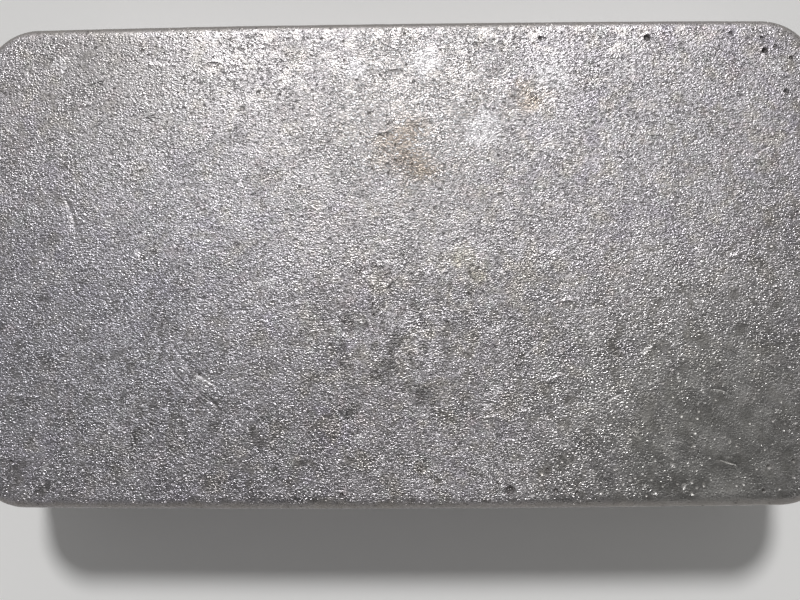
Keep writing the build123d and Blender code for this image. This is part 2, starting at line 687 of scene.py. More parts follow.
@dataclass
class PitScatter:
    """Scatters gas pits over a flat sheet with Geometry Nodes.

    Each pit is a small star of points: a round floor inside a round rim. Its place in the plan
    is that of the sheet, and its height is how far the metal is sunk there, with a minus sign.
    """

    sheet_points: tuple[int, int] = (60, 40)
    calm_spots: tuple[tuple[Place, float], ...] = (
        ((0.0, 26.0, 0.0), 38.0), ((56.0, -32.0, 0.0), 40.0),
    )
    cloud_size: float = 14.0
    cloud_span: Span = (0.3, 0.62)
    crowding: float = 2.4
    seed_step: float = 3.7
    floor_radius: float = 0.5
    ovalness: Span = (0.75, 1.3)
    steepness: Span = (0.45, 1.0)
    small_depth: float = 0.6

    def __post_init__(self) -> None:
        """Builds the tree."""
        self.tree = ShapeTree("pit_scatter")
        self.tree.take("Float", "Length", "Width", "Spacing", "Smallest", "Largest", "Depth")
        self.tree.take("Float", "Share", "Calm")
        self.tree.take("Int", "Rim points", "Floor points", "Seed")
        self.tree.take("Material", "Finish")
        self.tree.close(self._plant(self._points(self._sheet()), self._pit()))

    def _sheet(self) -> Wire:
        """The flat sheet that the pits are scattered on.

        Returns:
            The sheet.
        """
        inputs = {
            "Size X": self.tree.given("Length"),
            "Size Y": self.tree.given("Width"),
            "Vertices X": self.sheet_points[0],
            "Vertices Y": self.sheet_points[1],
        }
        return self.tree.add("GeometryNodeMeshGrid", inputs=inputs)

    def _points(self, sheet: Wire) -> Wire:
        """Points that keep their distance, thinned in clouds and in the calm spots.

        Args:
            sheet: The sheet that they lie on.

        Returns:
            The points.
        """
        tree = self.tree
        spacing, share, calm, seed = map(tree.given, ("Spacing", "Share", "Calm", "Seed"))
        place = tree.add("GeometryNodeInputPosition")
        cloud = tree.noise(place, self.cloud_size, seed=seed * self.seed_step)
        cover = tree.maths("MAXIMUM", *(tree.spot(place, *spot) for spot in self.calm_spots))
        factor = tree.ramp(cloud + (share - 0.5), *self.cloud_span) * (1.0 - calm * cover)
        inputs = {
            "Mesh": sheet,
            "Distance Min": spacing,
            "Density Max": self.crowding / (spacing * spacing),
            "Density Factor": factor,
            "Seed": seed,
        }
        poisson = {"distribute_method": "POISSON"}
        return tree.add("GeometryNodeDistributePointsOnFaces", poisson, inputs)

    def _pit(self) -> Wire:
        """One pit of radius 1 and depth 1, with a point in the middle of its floor.

        Returns:
            The pit.
        """
        tree = self.tree
        circle = "GeometryNodeMeshCircle"
        rim = tree.add(circle, inputs={"Vertices": tree.given("Rim points"), "Radius": 1.0})
        inputs = {"Vertices": tree.given("Floor points"), "Radius": self.floor_radius}
        floor = tree.add(circle, {"fill_type": "TRIANGLE_FAN"}, inputs)
        both = tree.add("GeometryNodeJoinGeometry")
        for part in (rim, floor):
            tree.join(part, both.socket.node.inputs["Geometry"])
        reach = tree.measure("LENGTH", tree.add("GeometryNodeInputPosition"))
        inputs = {"Geometry": both, "Offset": tree.vector(z=reach * reach - 1.0)}
        return tree.add("GeometryNodeSetPosition", inputs=inputs)

    def _random(self, low: float, high: float, turn: int) -> Wire:
        """A random number for each pit, where each turn gives others."""
        inputs = {2: low, 3: high, "Seed": self.tree.given("Seed") + turn}
        return self.tree.add("FunctionNodeRandomValue", {"data_type": "FLOAT"}, inputs, output=1)

    def _plant(self, points: Wire, pit: Wire) -> Wire:
        """Sets a pit on every point, each turned, sized and stretched by chance.

        Args:
            points: The points.
            pit: The pit of radius 1 and depth 1.

        Returns:
            The pits, as instances.
        """
        tree = self.tree
        smallest, largest, depth = map(tree.given, ("Smallest", "Largest", "Depth"))
        chance = self._random(0.0, 1.0, turn=11)
        radius = smallest + (largest - smallest) * chance * chance
        oval = self._random(*self.ovalness, turn=12)
        deep = depth * self._random(*self.steepness, turn=13)
        deep = deep * tree.lift(chance, self.small_depth)
        inputs = {
            "Points": points,
            "Instance": pit,
            "Rotation": tree.vector(z=self._random(0.0, math.tau, turn=14)),
            "Scale": tree.vector(radius * oval, radius / oval, deep),
        }
        return tree.add("GeometryNodeInstanceOnPoints", inputs=inputs)

    def stars(
        self, length: float, width: float, crop: PitCrop, finish: bpy.types.Material
    ) -> np.ndarray:
        """The pits of one crop.

        Args:
            length: The length of the sheet.
            width: Its width.
            crop: What the pits are like.
            finish: The metal's finish.

        Returns:
            One block for each pit, of its points, each with its two places and its height.
        """
        holder = put_in_scene("pit_sheet", bpy.data.meshes.new("pit_sheet"))
        mesh = self.tree.apply(holder, length=length, width=width, finish=finish, **asdict(crop))
        places = np.zeros(len(mesh.vertices) * 3)
        mesh.vertices.foreach_get("co", places)
        bpy.data.objects.remove(holder)
        bpy.data.meshes.remove(mesh)
        block = crop.rim_points + crop.floor_points + 1
        return places.reshape(-1, block, 3)


@dataclass
class Patch:
    """A finished stretch of skin: its points, what each is like, and its triangles.

    Each point knows how far it is sunk, and how far it lies from the nearest rounded edge.
    """

    points: np.ndarray
    sunk: np.ndarray
    from_edge: np.ndarray
    faces: list[tuple[int, ...]]


@dataclass
class SkinSheet:
    """A flat sheet of skin: its border, the marks set into it, and the mesh knitted from them.

    The border is given as its points in order, and the room tells how far inside it places lie.
    """

    skin: Skin
    border: np.ndarray
    room: Room
    seed: int
    hole_rings: tuple[tuple[float, int], ...] = ((0.34, 5), (0.62, 8), (0.85, 11), (1.0, 14))
    hole_wobble: float = 0.06
    hole_ground: float = 1.15
    stroke_ground: float = 1.1
    stroke_step: float = 0.42
    stroke_end: float = 0.04
    stroke_fullness: float = 0.6
    pit_margin: float = 0.15
    border_margin: float = 0.12
    marks: list[np.ndarray] = field(default_factory=list)
    taken: list[Spot] = field(default_factory=list)
    pits: int = 0

    def __post_init__(self) -> None:
        """Seeds the chance by which holes differ."""
        self.chance = np.random.default_rng(self.seed)

    def free(self, places: np.ndarray, clearance: np.ndarray) -> np.ndarray:
        """Which places are clear of the marks that hold their own ground.

        Args:
            places: The places, one row each.
            clearance: How much room each needs round it.

        Returns:
            Whether each has that room.
        """
        clear = np.ones(len(places), bool)
        for x, y, radius in self.taken:
            clear &= np.hypot(places[:, 0] - x, places[:, 1] - y) > radius + clearance
        return clear

    def add_ring_hole(self, centre: tuple[float, float], radius: float, depth: float) -> None:
        """Sets in one round hole with a rounded floor.

        Args:
            centre: Where it lies.
            radius: The radius of its mouth.
            depth: How deep it is.
        """
        rows = [(*centre, depth)]
        for share, count in self.hole_rings:
            turn = self.chance.uniform(0, math.tau)
            for step in range(count):
                angle = turn + math.tau * step / count
                wobble = self.chance.uniform(-self.hole_wobble, self.hole_wobble)
                reach = radius * share * (1 + wobble)
                x = centre[0] + reach * math.cos(angle)
                y = centre[1] + reach * math.sin(angle)
                rows.append((x, y, depth * (1 - share**3)))
        self.marks.append(np.array(rows))
        self.taken.append((*centre, radius * self.hole_ground))

    def add_stroke(self, stroke: Stroke) -> None:
        """Sets in one groove or ridge, as a row of points with one on each of its flanks.

        Args:
            stroke: The groove or ridge.
        """
        start, end = np.array(stroke.start), np.array(stroke.end)
        run = end - start
        length = float(np.hypot(*run))
        aside = np.array([-run[1], run[0]]) / length
        rows = []
        for share in np.linspace(0, 1, max(3, round(length / self.stroke_step))):
            middle = start + run * share + aside * stroke.sag * 4 * share * (1 - share)
            inner = min(max(share, self.stroke_end), 1 - self.stroke_end)
            swell = math.sin(math.pi * inner) ** self.stroke_fullness
            width = stroke.half_width * swell
            rows.append((*middle, stroke.depth * swell))
            rows.append((*(middle + aside * width), 0.0))
            rows.append((*(middle - aside * width), 0.0))
            self.taken.append((*middle, width * self.stroke_ground))
        self.marks.append(np.array(rows))

    def add_pits(self, stars: np.ndarray, own_ground: bool = False) -> None:
        """Sets in scattered pits, where there is room for them.

        Args:
            stars: The pits' points, as PitScatter gives them.
            own_ground: Whether later marks keep clear of these.
        """
        centres = stars[:, :, :2].mean(axis=1)
        radii = np.hypot(*(stars[:, :, :2] - centres[:, None]).transpose(2, 0, 1)).max(axis=1)
        fits = self.free(centres, radii) & (self.room(centres) > radii + self.pit_margin)
        self.marks.append(stars[fits].reshape(-1, 3) * np.array([1, 1, -1]))
        self.pits += int(fits.sum())
        if own_ground:
            self.taken += [(*place, radius) for place, radius in zip(centres[fits], radii[fits])]

    def fill(self, places: np.ndarray, gap: float) -> None:
        """Adds plain points between the marks.

        Args:
            places: Where they may go.
            gap: How far each has to be from every mark.
        """
        placed = np.concatenate([self.border] + [rows[:, :2] for rows in self.marks])
        tree = KDTree(len(placed))
        for index, (x, y) in enumerate(placed):
            tree.insert((x, y, 0.0), index)
        tree.balance()
        clear = [tree.find((x, y, 0.0))[2] > gap for x, y in places]
        plain = places[np.array(clear)]
        self.marks.append(np.column_stack([plain, np.zeros(len(plain))]))

    def knit(self) -> tuple[np.ndarray, np.ndarray, list[tuple[int, int, int]]]:
        """Joins all the points with triangles.

        Returns:
            The places, how far each is sunk, and the triangles.
        """
        rows = np.concatenate(self.marks)
        rows = rows[self.room(rows[:, :2]) > self.border_margin]
        border = len(self.border)
        points = [Vector(place) for place in self.border] + [Vector(row[:2]) for row in rows]
        result = delaunay_2d_cdt(points, [], [list(range(border))], 1, NO_GAP, True)
        places = np.array([tuple(point) for point in result[0]])
        sunk = np.concatenate([np.zeros(border), rows[:, 2]])
        source = np.array([group[0] if group else 0 for group in result[3]])
        log.info("%s: %d pits, %d points", self.skin.value, self.pits, len(places))
        return places, sunk[source], [tuple(face) for face in result[2]]


@dataclass(frozen=True)
class Cloud:
    """Patches cut out of soft noise: 0 at one level of the noise and 1 at the other."""

    size: float
    span: Span
    seed: float
    detail: float = 3.0

    def lay(self, sheet: NodeSheet, place: Wire) -> Wire:
        """The patches, from 0 to 1."""
        return sheet.ramp(sheet.noise(place, self.size, self.detail, self.seed), *self.span)


@dataclass(frozen=True)
class Bloom:
    """Patches of tarnish that lie all over the bar."""

    colour: Colour
    cloud: Cloud
    amount: float


@dataclass(frozen=True)
class Stain:
    """One patch of tarnish in its own place."""

    colour: Colour
    area: Area


@dataclass(frozen=True)
class CastSilver:
    """The finish of the cast metal: satin silver with shiny pits, tarnished here and there."""

    # The metal, and what lies on it, with how much of each shows. Some of it is painted light:
    # the dark is also painted shade in pits, holes and beside each pinhole, the edge colour is
    # partly painted shade, and the two palest colours are painted highlights on glints and flecks
    bright: Colour = (0.62, 0.591, 0.617)
    dark: Colour = (0.17, 0.16, 0.155)
    calm: Colour = (0.56, 0.52, 0.47)
    # Partly tarnish and partly painted shade, on the rounded edges
    edge: Colour = (0.30, 0.28, 0.265)
    # The colour of the dark blotches
    smut: Colour = (0.15, 0.145, 0.14)
    # A painted highlight on the glints, which are also rubbed glossy
    burnished: Colour = (0.72, 0.70, 0.715)
    # A painted highlight on the raised flecks
    fleck: Colour = (0.86, 0.85, 0.87)
    calm_amount: float = 0.4
    edge_amount: float = 0.8
    smut_amount: float = 0.8
    burnished_amount: float = 0.7
    patina_amount: float = 0.32
    # Painted shade beside each pinhole, in the dark colour
    soot_amount: float = 0.9
    # Painted shade in the pits, and darker in the deep holes
    pit_shade: float = 0.2
    hole_shade: float = 0.6
    hole_span: Span = (0.6, 1.0)

    # Tarnish and dark marks, and glints: glossy spots painted lighter as highlights
    blooms: tuple[Bloom, ...] = (
        Bloom((0.44, 0.43, 0.45), Cloud(20.0, (0.4, 0.65), 1.0), 0.4),
        Bloom((0.51, 0.47, 0.56), Cloud(5.0, (0.5, 0.7), 2.0), 0.5),
        Bloom((0.58, 0.53, 0.44), Cloud(3.6, (0.52, 0.7), 3.0), 0.4),
        Bloom((0.49, 0.52, 0.48), Cloud(2.6, (0.56, 0.72), 8.0), 0.35),
        Bloom((0.59, 0.50, 0.51), Cloud(3.0, (0.56, 0.72), 10.0), 0.4),
    )
    stains: tuple[Stain, ...] = (
        Stain((0.44, 0.415, 0.40), (0.0, 27.0, 42.0, 0.7)),
        Stain((0.46, 0.44, 0.43), (-44.0, 36.0, 34.0, 0.65)),
        Stain((0.66, 0.65, 0.615), (50.0, -32.0, 48.0, 0.8)),
        Stain((0.50, 0.50, 0.57), (-48.0, -14.0, 46.0, 0.5)),
        Stain((0.32, 0.26, 0.21), (0.9, 18.4, 7.0, 0.85)),
        Stain((0.34, 0.28, 0.22), (4.2, 14.4, 5.5, 0.8)),
        Stain((0.66, 0.52, 0.38), (21.3, 26.0, 5.0, 0.5)),
        Stain((0.62, 0.57, 0.38), (10.7, -0.5, 5.0, 0.4)),
    )
    # Darker mottled patches, and small dark blotches, in these places
    mottled: tuple[Stain, ...] = (
        Stain((0.20, 0.19, 0.18), (0.5, -13.0, 24.0, 0.8)),
        Stain((0.22, 0.21, 0.21), (-38.0, -18.0, 30.0, 0.7)),
    )
    smears: Cloud = Cloud(1.3, (0.48, 0.64), 16.0, 4.0)
    smear_stretch: Place = (1.0, 0.75, 1.0)
    blotches: tuple[Spot, ...] = (
        (3.8, -21.6, 2.6), (-0.5, -13.0, 2.0), (-7.6, -24.2, 2.2), (-2.8, -19.0, 1.8),
        (1.0, 1.0, 1.5), (-8.4, -9.8, 2.0), (11.3, -5.2, 1.5), (8.1, -14.8, 1.5),
        (-29.6, -26.3, 1.7), (-41.7, -27.5, 1.6), (-35.9, -11.1, 1.6), (-31.2, -22.0, 1.6),
        (-46.6, -22.0, 1.4), (-0.9, -17.4, 1.5), (-15.5, -12.0, 1.3), (-23.7, -27.1, 1.3),
    )
    glints: tuple[Spot, ...] = (
        (13.0, -32.6, 1.6), (25.8, 30.4, 4.2), (14.2, 21.4, 5.2), (37.0, 31.1, 2.6),
        (-30.7, 37.4, 2.2), (-6.6, 31.7, 3.0), (-56.1, 33.0, 1.8), (4.6, 32.6, 3.6),
        (-21.3, -3.7, 1.5), (-47.0, 6.7, 1.6), (-31.5, -19.0, 2.0), (3.8, -25.0, 1.5),
        (15.2, -20.4, 1.6), (-2.8, -31.9, 1.4), (-56.3, -32.3, 1.4), (61.4, 31.5, 1.8),
        (-4.0, -33.6, 1.2), (-6.9, -28.1, 1.4),
    )
    glint_span: Span = (0.1, 0.6)

    # How the outlines of these are frayed
    stain_fray: Fray = (5.0, 6.0)
    blotch_fray: Fray = (1.6, 1.3)
    glint_fray: Fray = (1.8, 2.2)
    pinhole_fray: Fray = (0.7, 0.15)

    # Where there are few pinholes, where there is little grain, and where there are flecks
    quiet: tuple[Area, ...] = (
        (52.0, -31.0, 46.0, 0.87), (0.0, 26.0, 38.0, 0.6), (-46.0, 33.0, 30.0, 0.6),
    )
    plain: tuple[Area, ...] = ((52.0, -30.0, 44.0, 0.4), (-44.0, 35.0, 30.0, 0.6))
    flecked: tuple[Area, ...] = (
        (4.0, 25.0, 38.0, 1.0), (-30.0, 14.0, 34.0, 0.5), (0.0, -14.0, 30.0, 0.15),
        (40.0, 20.0, 34.0, 0.5), (-45.0, -22.0, 30.0, 0.3), (10.0, -36.0, 20.0, 0.4),
    )

    # Roughness: of the skin, dull and patchy, of glints, worn edges, pits and pinholes
    satin: float = 0.37
    dullness: float = 0.06
    patchiness: float = 0.48
    patch_size: float = 3.2
    gloss: float = 0.46
    worn: float = 0.6
    pit_polish: float = 0.62
    pit_span: Span = (0.0, 0.2)
    polish: float = 0.3
    pinhole_span: Span = (0.0, 0.1)

    # The worn edges, darkened partly as tarnish and partly as painted shade, and the calm
    # patches, where the relief is smoothed out
    edge_span: Span = (0.1, -1.2)
    edge_fray: float = 0.8
    edge_fray_size: float = 1.6
    edge_smoothing: float = 0.5
    calm_cloud: Cloud = Cloud(2.4, (0.52, 0.66), 9.0)
    calm_smoothing: float = 0.65

    # The finest relief
    patina: Cloud = Cloud(0.2, (0.6, 0.4), 15.0, 2.0)
    grain_height: float = 0.06
    grain_size: float = 0.3
    vein_height: float = 0.03
    vein_size: float = 0.5
    vein_sharpness: float = 8.0
    flecks: Cloud = Cloud(0.28, (0.52, 0.62), 13.0)
    fleck_height: float = 0.06
    fleck_stretch: Place = (0.6, 1.0, 1.0)
    fleck_rise: Span = (TOP - 3.0, TOP - 0.6)
    pinhole_clouds: Cloud = Cloud(5.0, (0.62, 0.42), 14.0, 2.0)
    pinhole_depth: float = 0.12
    pinhole_radius: float = 0.22
    pinhole_scale: float = 2.2
    pinhole_bowl: float = 2.0
    pinhole_stretch: Place = (0.8, 1.8, 1.2)
    faintest_cloud: float = 0.45
    faintest_pinhole: float = 0.3
    # How far the painted shade beside each pinhole is shifted, towards the lamp
    soot_shift: Place = (0.0, 0.2, 0.0)

    def build(self) -> bpy.types.Material:
        """Makes the material.

        Returns:
            The material, with its pattern on Object coordinates.
        """
        sheet = FinishTree("cast_silver")
        place = sheet.place
        sunk, from_edge = self._attribute(sheet, "sunk"), self._attribute(sheet, "from_edge")
        fray = sheet.noise(place, self.edge_fray_size, detail=3.0, seed=6.0) - 0.5
        edge = sheet.ramp(from_edge + self.edge_fray * fray, *self.edge_span)
        calm = self.calm_cloud.lay(sheet, place)
        smooth = sheet.maths("MAXIMUM", calm * self.calm_smoothing, edge * self.edge_smoothing)
        # The pinholes' depth, and painted shade on the side of each towards the lamp
        pinhole, pinhole_shade = (wire * (1.0 - smooth) for wire in self._pinholes(sheet))
        # The glints: glossier, and painted lighter as highlights
        shine = self._shine(sheet)
        # Raised flecks, painted pale as highlights
        flecks = self._flecks(sheet) * (1.0 - self.edge_amount * edge)
        # Painted shade in the pits, and darker in the deep holes
        pit = sunk * self.pit_shade + sheet.ramp(sunk, *self.hole_span) * self.hole_shade
        colour, dull = self._tarnish(sheet, calm)
        for amount, layer in (
            (self.patina.lay(sheet, place) * self.patina_amount, self.dark),
            # Painted highlights on the glints
            (shine * self.burnished_amount, self.burnished),
            # Painted highlights on the flecks
            (flecks, self.fleck),
            # The edges darkened: partly tarnish, partly painted shade
            (edge * self.edge_amount, self.edge),
            # Painted shade in the pits and holes, and beside each pinhole
            (sheet.maths("MAXIMUM", pit, pinhole_shade * self.soot_amount), self.dark),
        ):
            colour = sheet.blend(amount, colour, layer)
        patches = sheet.noise(place, self.patch_size, detail=3.0, seed=11.0) - 0.5
        flat = self.satin + self.dullness * dull + self.patchiness * patches
        for amount, roughness in (
            (shine, self.gloss),
            (edge, self.worn),
            (sheet.ramp(sunk, *self.pit_span), self.pit_polish),
            (sheet.ramp(pinhole, *self.pinhole_span), self.polish),
        ):
            flat = flat + (roughness - flat) * amount
        grain = self._grain(sheet, pinhole, smooth, flecks)
        inputs = {"Base Color": colour, "Metallic": 1.0, "Roughness": flat, "Normal": grain}
        return sheet.close(inputs)

    def _attribute(self, sheet: FinishTree, name: str) -> Wire:
        """What the skin's points are told of themselves."""
        return sheet.add("ShaderNodeAttribute", {"attribute_name": name}, output="Fac")

    def _tarnish(self, sheet: FinishTree, calm: Wire) -> tuple[Wire, Wire]:
        """The tarnished metal, with its darker mottles and blotches.

        Args:
            sheet: The material's tree.
            calm: Where the skin is calm, from 0 to 1.

        Returns:
            Its colour, and how dull it is.
        """
        colour: Setting = self.bright
        for bloom in self.blooms:
            amount = bloom.cloud.lay(sheet, sheet.place) * bloom.amount
            colour = sheet.blend(amount, colour, bloom.colour)
        colour = sheet.blend(calm * self.calm_amount, colour, self.calm)
        frayed = self._shaken(sheet, *self.stain_fray)
        ragged = self._shaken(sheet, *self.blotch_fray)
        for stain in self.stains:
            x, y, radius, amount = stain.area
            spot = sheet.spot(frayed, (x, y, TOP), radius)
            colour = sheet.blend(spot * amount, colour, stain.colour)
        stretched = sheet.vectors("MULTIPLY", sheet.place, self.smear_stretch)
        smears = self.smears.lay(sheet, stretched)
        dull: Operand = 0.0
        for stain in self.mottled:
            x, y, radius, amount = stain.area
            smeared = smears * sheet.spot(frayed, (x, y, TOP), radius)
            colour = sheet.blend(smeared * amount, colour, stain.colour)
            dull = dull + smeared
        for x, y, radius in self.blotches:
            spot = sheet.spot(ragged, (x, y, TOP), radius)
            colour = sheet.blend(spot * self.smut_amount, colour, self.smut)
        return colour, dull

    def _shaken(self, sheet: FinishTree, size: float, reach: float) -> Wire:
        """The place, shaken about by noise, so that what is read there has a frayed outline.

        Args:
            sheet: The material's tree.
            size: The width of the noise's lumps.
            reach: The furthest that it can move the place, and mostly half of that.

        Returns:
            The shaken place.
        """
        noise = {"Vector": sheet.place, "Scale": 1.0 / size, "Detail": 2.0}
        shaken = sheet.add("ShaderNodeTexNoise", inputs=noise, output="Color")
        shift = sheet.stretch(sheet.vectors("SUBTRACT", shaken, (0.5, 0.5, 0.5)), 2.0 * reach)
        return sheet.vectors("ADD", sheet.place, shift)

    def _shine(self, sheet: FinishTree) -> Wire:
        """Where the skin glints: smeared, rubbed glossy, and painted lighter as highlights.

        Args:
            sheet: The material's tree.

        Returns:
            1 in the middle of such a patch, and 0 outside it.
        """
        smeared = self._shaken(sheet, *self.glint_fray)
        shine: Operand = 0.0
        for x, y, radius in self.glints:
            shine = sheet.maths("MAXIMUM", shine, sheet.spot(smeared, (x, y, TOP), radius))
        return sheet.ramp(shine, *self.glint_span)

    def _cover(self, sheet: FinishTree, areas: tuple[Area, ...]) -> Wire:
        """How strongly some soft round areas cover the metal.

        Args:
            sheet: The material's tree.
            areas: The areas.

        Returns:
            The strength of the strongest, at each place.
        """
        cover: Operand = 0.0
        for x, y, radius, amount in areas:
            spot = sheet.spot(sheet.place, (x, y, TOP), radius) * amount
            cover = sheet.maths("MAXIMUM", cover, spot)
        return cover

    def _flecks(self, sheet: FinishTree) -> Wire:
        """Flecks that lie along the bar, where its high spots were rubbed, painted pale as
        highlights.

        Args:
            sheet: The material's tree.

        Returns:
            Where they are, from 0 to 1.
        """
        stretched = sheet.vectors("MULTIPLY", sheet.place, self.fleck_stretch)
        flecks = self.flecks.lay(sheet, stretched) * self._cover(sheet, self.flecked)
        return flecks * sheet.ramp(sheet.part(sheet.place, "Z"), *self.fleck_rise)

    def _grain(self, sheet: FinishTree, pinhole: Wire, smooth: Wire, flecks: Wire) -> Wire:
        """The finest relief: the grain, veins and flecks of the skin, and the pinholes.

        Args:
            sheet: The material's tree.
            pinhole: The depth of the pinholes, up to 1.
            smooth: How far the veins are smoothed out.
            flecks: Where the flecks are.

        Returns:
            The normal.
        """
        grains = sheet.noise(sheet.place, self.grain_size, seed=5.0)
        veins = sheet.maths("ABSOLUTE", sheet.noise(sheet.place, self.vein_size, seed=12.0) - 0.5)
        veins = sheet.maths("MINIMUM", veins * self.vein_sharpness, 1.0) * (1.0 - smooth)
        coarse = grains * self.grain_height + veins * self.vein_height
        coarse = coarse * (1.0 - self._cover(sheet, self.plain))
        height = coarse + flecks * self.fleck_height - pinhole * self.pinhole_depth
        inputs = {"Strength": 1.0, "Distance": MM, "Height": height}
        return sheet.add("ShaderNodeBump", inputs=inputs)

    def _pinholes(self, sheet: FinishTree) -> tuple[Wire, Wire]:
        """Ragged pits too small to be shapes, and painted shade on one side of each.

        Args:
            sheet: The material's tree.

        Returns:
            The depth of the pits and of their painted shade, each 0 between them and up to 1.
        """
        warped = self._shaken(sheet, *self.pinhole_fray)
        warped = sheet.vectors("MULTIPLY", warped, self.pinhole_stretch)
        clouds = sheet.lift(self.pinhole_clouds.lay(sheet, sheet.place), self.faintest_cloud)
        lively = (1.0 - self._cover(sheet, self.quiet)) * clouds
        reach = self.pinhole_radius * self.pinhole_scale
        both = []
        for shift in ((0.0, 0.0, 0.0), self.soot_shift):
            shifted = sheet.vectors("SUBTRACT", warped, shift)
            inputs = {"Vector": shifted, "Scale": self.pinhole_scale}
            cells = sheet.add("ShaderNodeTexVoronoi", inputs=inputs)
            chance = sheet.part(cells.output("Color"), "X")
            bowl = sheet.maths("MINIMUM", cells / reach, 1.0) ** self.pinhole_bowl
            both.append((1.0 - bowl) * sheet.lift(chance, self.faintest_pinhole) * lively)
        return both[0], both[1]


@dataclass(frozen=True)
class SkinWaves:
    """The unevenness of the cast skin, made with Geometry Nodes: the metal sinks, never swells.

    It is made of broad swells, a finer peel, ripples in the open face and laps on the walls,
    each with its depth and its size. The fields are the tree's named inputs.
    """

    sink: float = 0.06
    broad: float = 0.14
    broad_size: float = 22.0
    peel: float = 0.06
    peel_size: float = 2.8
    ripple: float = 0.13
    ripple_size: float = 6.5
    lap: float = 0.1
    lap_size: float = 3.6
    seed: float = 7.0

    # How far the laps and the ripples wander, and the size and seed of the noise that does it
    LAP_DRIFT, LAP_DRIFT_SIZE, LAP_SEED = 5.0, 11.0, 9.0
    RIPPLE_DRIFT, RIPPLE_DRIFT_SIZE, RIPPLE_SEED = 9.0, 16.0, 5.0

    # Laps show on the steep walls, and only in places. Ripples show on what faces down
    LAP_FACING, LAP_SPAN = (0.6, 0.2), (0.35, 0.6)
    RIPPLE_FACING = (-0.6, -0.95)
    RIPPLE_OVAL = 0.34
    CREASE = math.radians(24.0)

    def build(self, piece: bpy.types.Object, finish: bpy.types.Material) -> bpy.types.Mesh:
        """Makes the skin of a piece uneven.

        Args:
            piece: The piece, with its smooth skin.
            finish: The finish that goes on it.

        Returns:
            The uneven mesh.
        """
        tree = ShapeTree("skin_waves")
        tree.take("Material", "Finish")
        tree.take("Float", "Sink", "Broad", "Broad size", "Peel", "Peel size")
        tree.take("Float", "Ripple", "Ripple size", "Lap", "Lap size", "Seed")
        place = tree.stretch(tree.add("GeometryNodeInputPosition"), 1 / MM)
        normal = tree.add("GeometryNodeInputNormal")
        facing = tree.part(normal, "Z")
        sink = (
            tree.given("Sink")
            + tree.given("Broad") * self._swell(tree, place, "Broad size", 1.0)
            + tree.given("Peel") * self._swell(tree, place, "Peel size", 2.0)
            + tree.given("Ripple") * self._ripples(tree, place, facing)
            + tree.given("Lap") * self._laps(tree, place, facing)
        )
        inputs = {"Geometry": tree.given("Geometry"), "Offset": tree.stretch(normal, -MM * sink)}
        moved = tree.add("GeometryNodeSetPosition", inputs=inputs)
        smooth = tree.add("GeometryNodeSetShadeSmooth", inputs={"Geometry": moved})
        bend = tree.add("GeometryNodeInputMeshEdgeAngle")
        sharp = tree.maths("GREATER_THAN", bend, self.CREASE)
        inputs = {"Geometry": smooth, "Selection": sharp, "Shade Smooth": False}
        creased = tree.add("GeometryNodeSetShadeSmooth", {"domain": "EDGE"}, inputs)
        tree.close(creased)
        return tree.apply(piece, finish=finish, **asdict(self))

    def _swell(self, tree: ShapeTree, place: Wire, size: str, detail: float) -> Wire:
        """Noise whose lumps are as wide as a named input says."""
        scaled = tree.vectors("DIVIDE", place, tree.vector(*[tree.given(size)] * 3))
        return tree.noise(scaled, 1.0, detail, tree.given("Seed"))

    def _wave(self, tree: ShapeTree, reach: Wire, size: str) -> Wire:
        """A wave from 0 to 1, as long as a named input says."""
        return tree.lift(tree.maths("SINE", reach / tree.given(size) * math.tau), 0.5)

    def _laps(self, tree: ShapeTree, place: Wire, facing: Wire) -> Wire:
        """Faint level laps on the walls, where the metal rose in the mould.

        Args:
            tree: The tree.
            place: Where they are read.
            facing: How much the skin faces up there.

        Returns:
            Their depth, from 0 to 1.
        """
        seed = tree.given("Seed") + self.LAP_SEED
        shaken = tree.noise(place, self.LAP_DRIFT_SIZE, seed=seed)
        wave = self._wave(tree, tree.part(place, "Z") + self.LAP_DRIFT * shaken, "Lap size")
        upright = tree.ramp(tree.maths("ABSOLUTE", facing), *self.LAP_FACING)
        return wave * upright * tree.ramp(shaken, *self.LAP_SPAN)

    def _ripples(self, tree: ShapeTree, place: Wire, facing: Wire) -> Wire:
        """Oval ripples in the open face, where the metal set from its rim inwards.

        Args:
            tree: The tree.
            place: Where they are read.
            facing: How much the skin faces up there.

        Returns:
            Their depth, from 0 to 1.
        """
        seed = tree.given("Seed") + self.RIPPLE_SEED
        shaken = tree.noise(place, self.RIPPLE_DRIFT_SIZE, seed=seed)
        x, y = tree.part(place, "X"), tree.part(place, "Y")
        reach = tree.maths("SQRT", x * x * self.RIPPLE_OVAL + y * y)
        wave = self._wave(tree, reach + self.RIPPLE_DRIFT * shaken, "Ripple size")
        return wave * tree.ramp(facing, *self.RIPPLE_FACING)


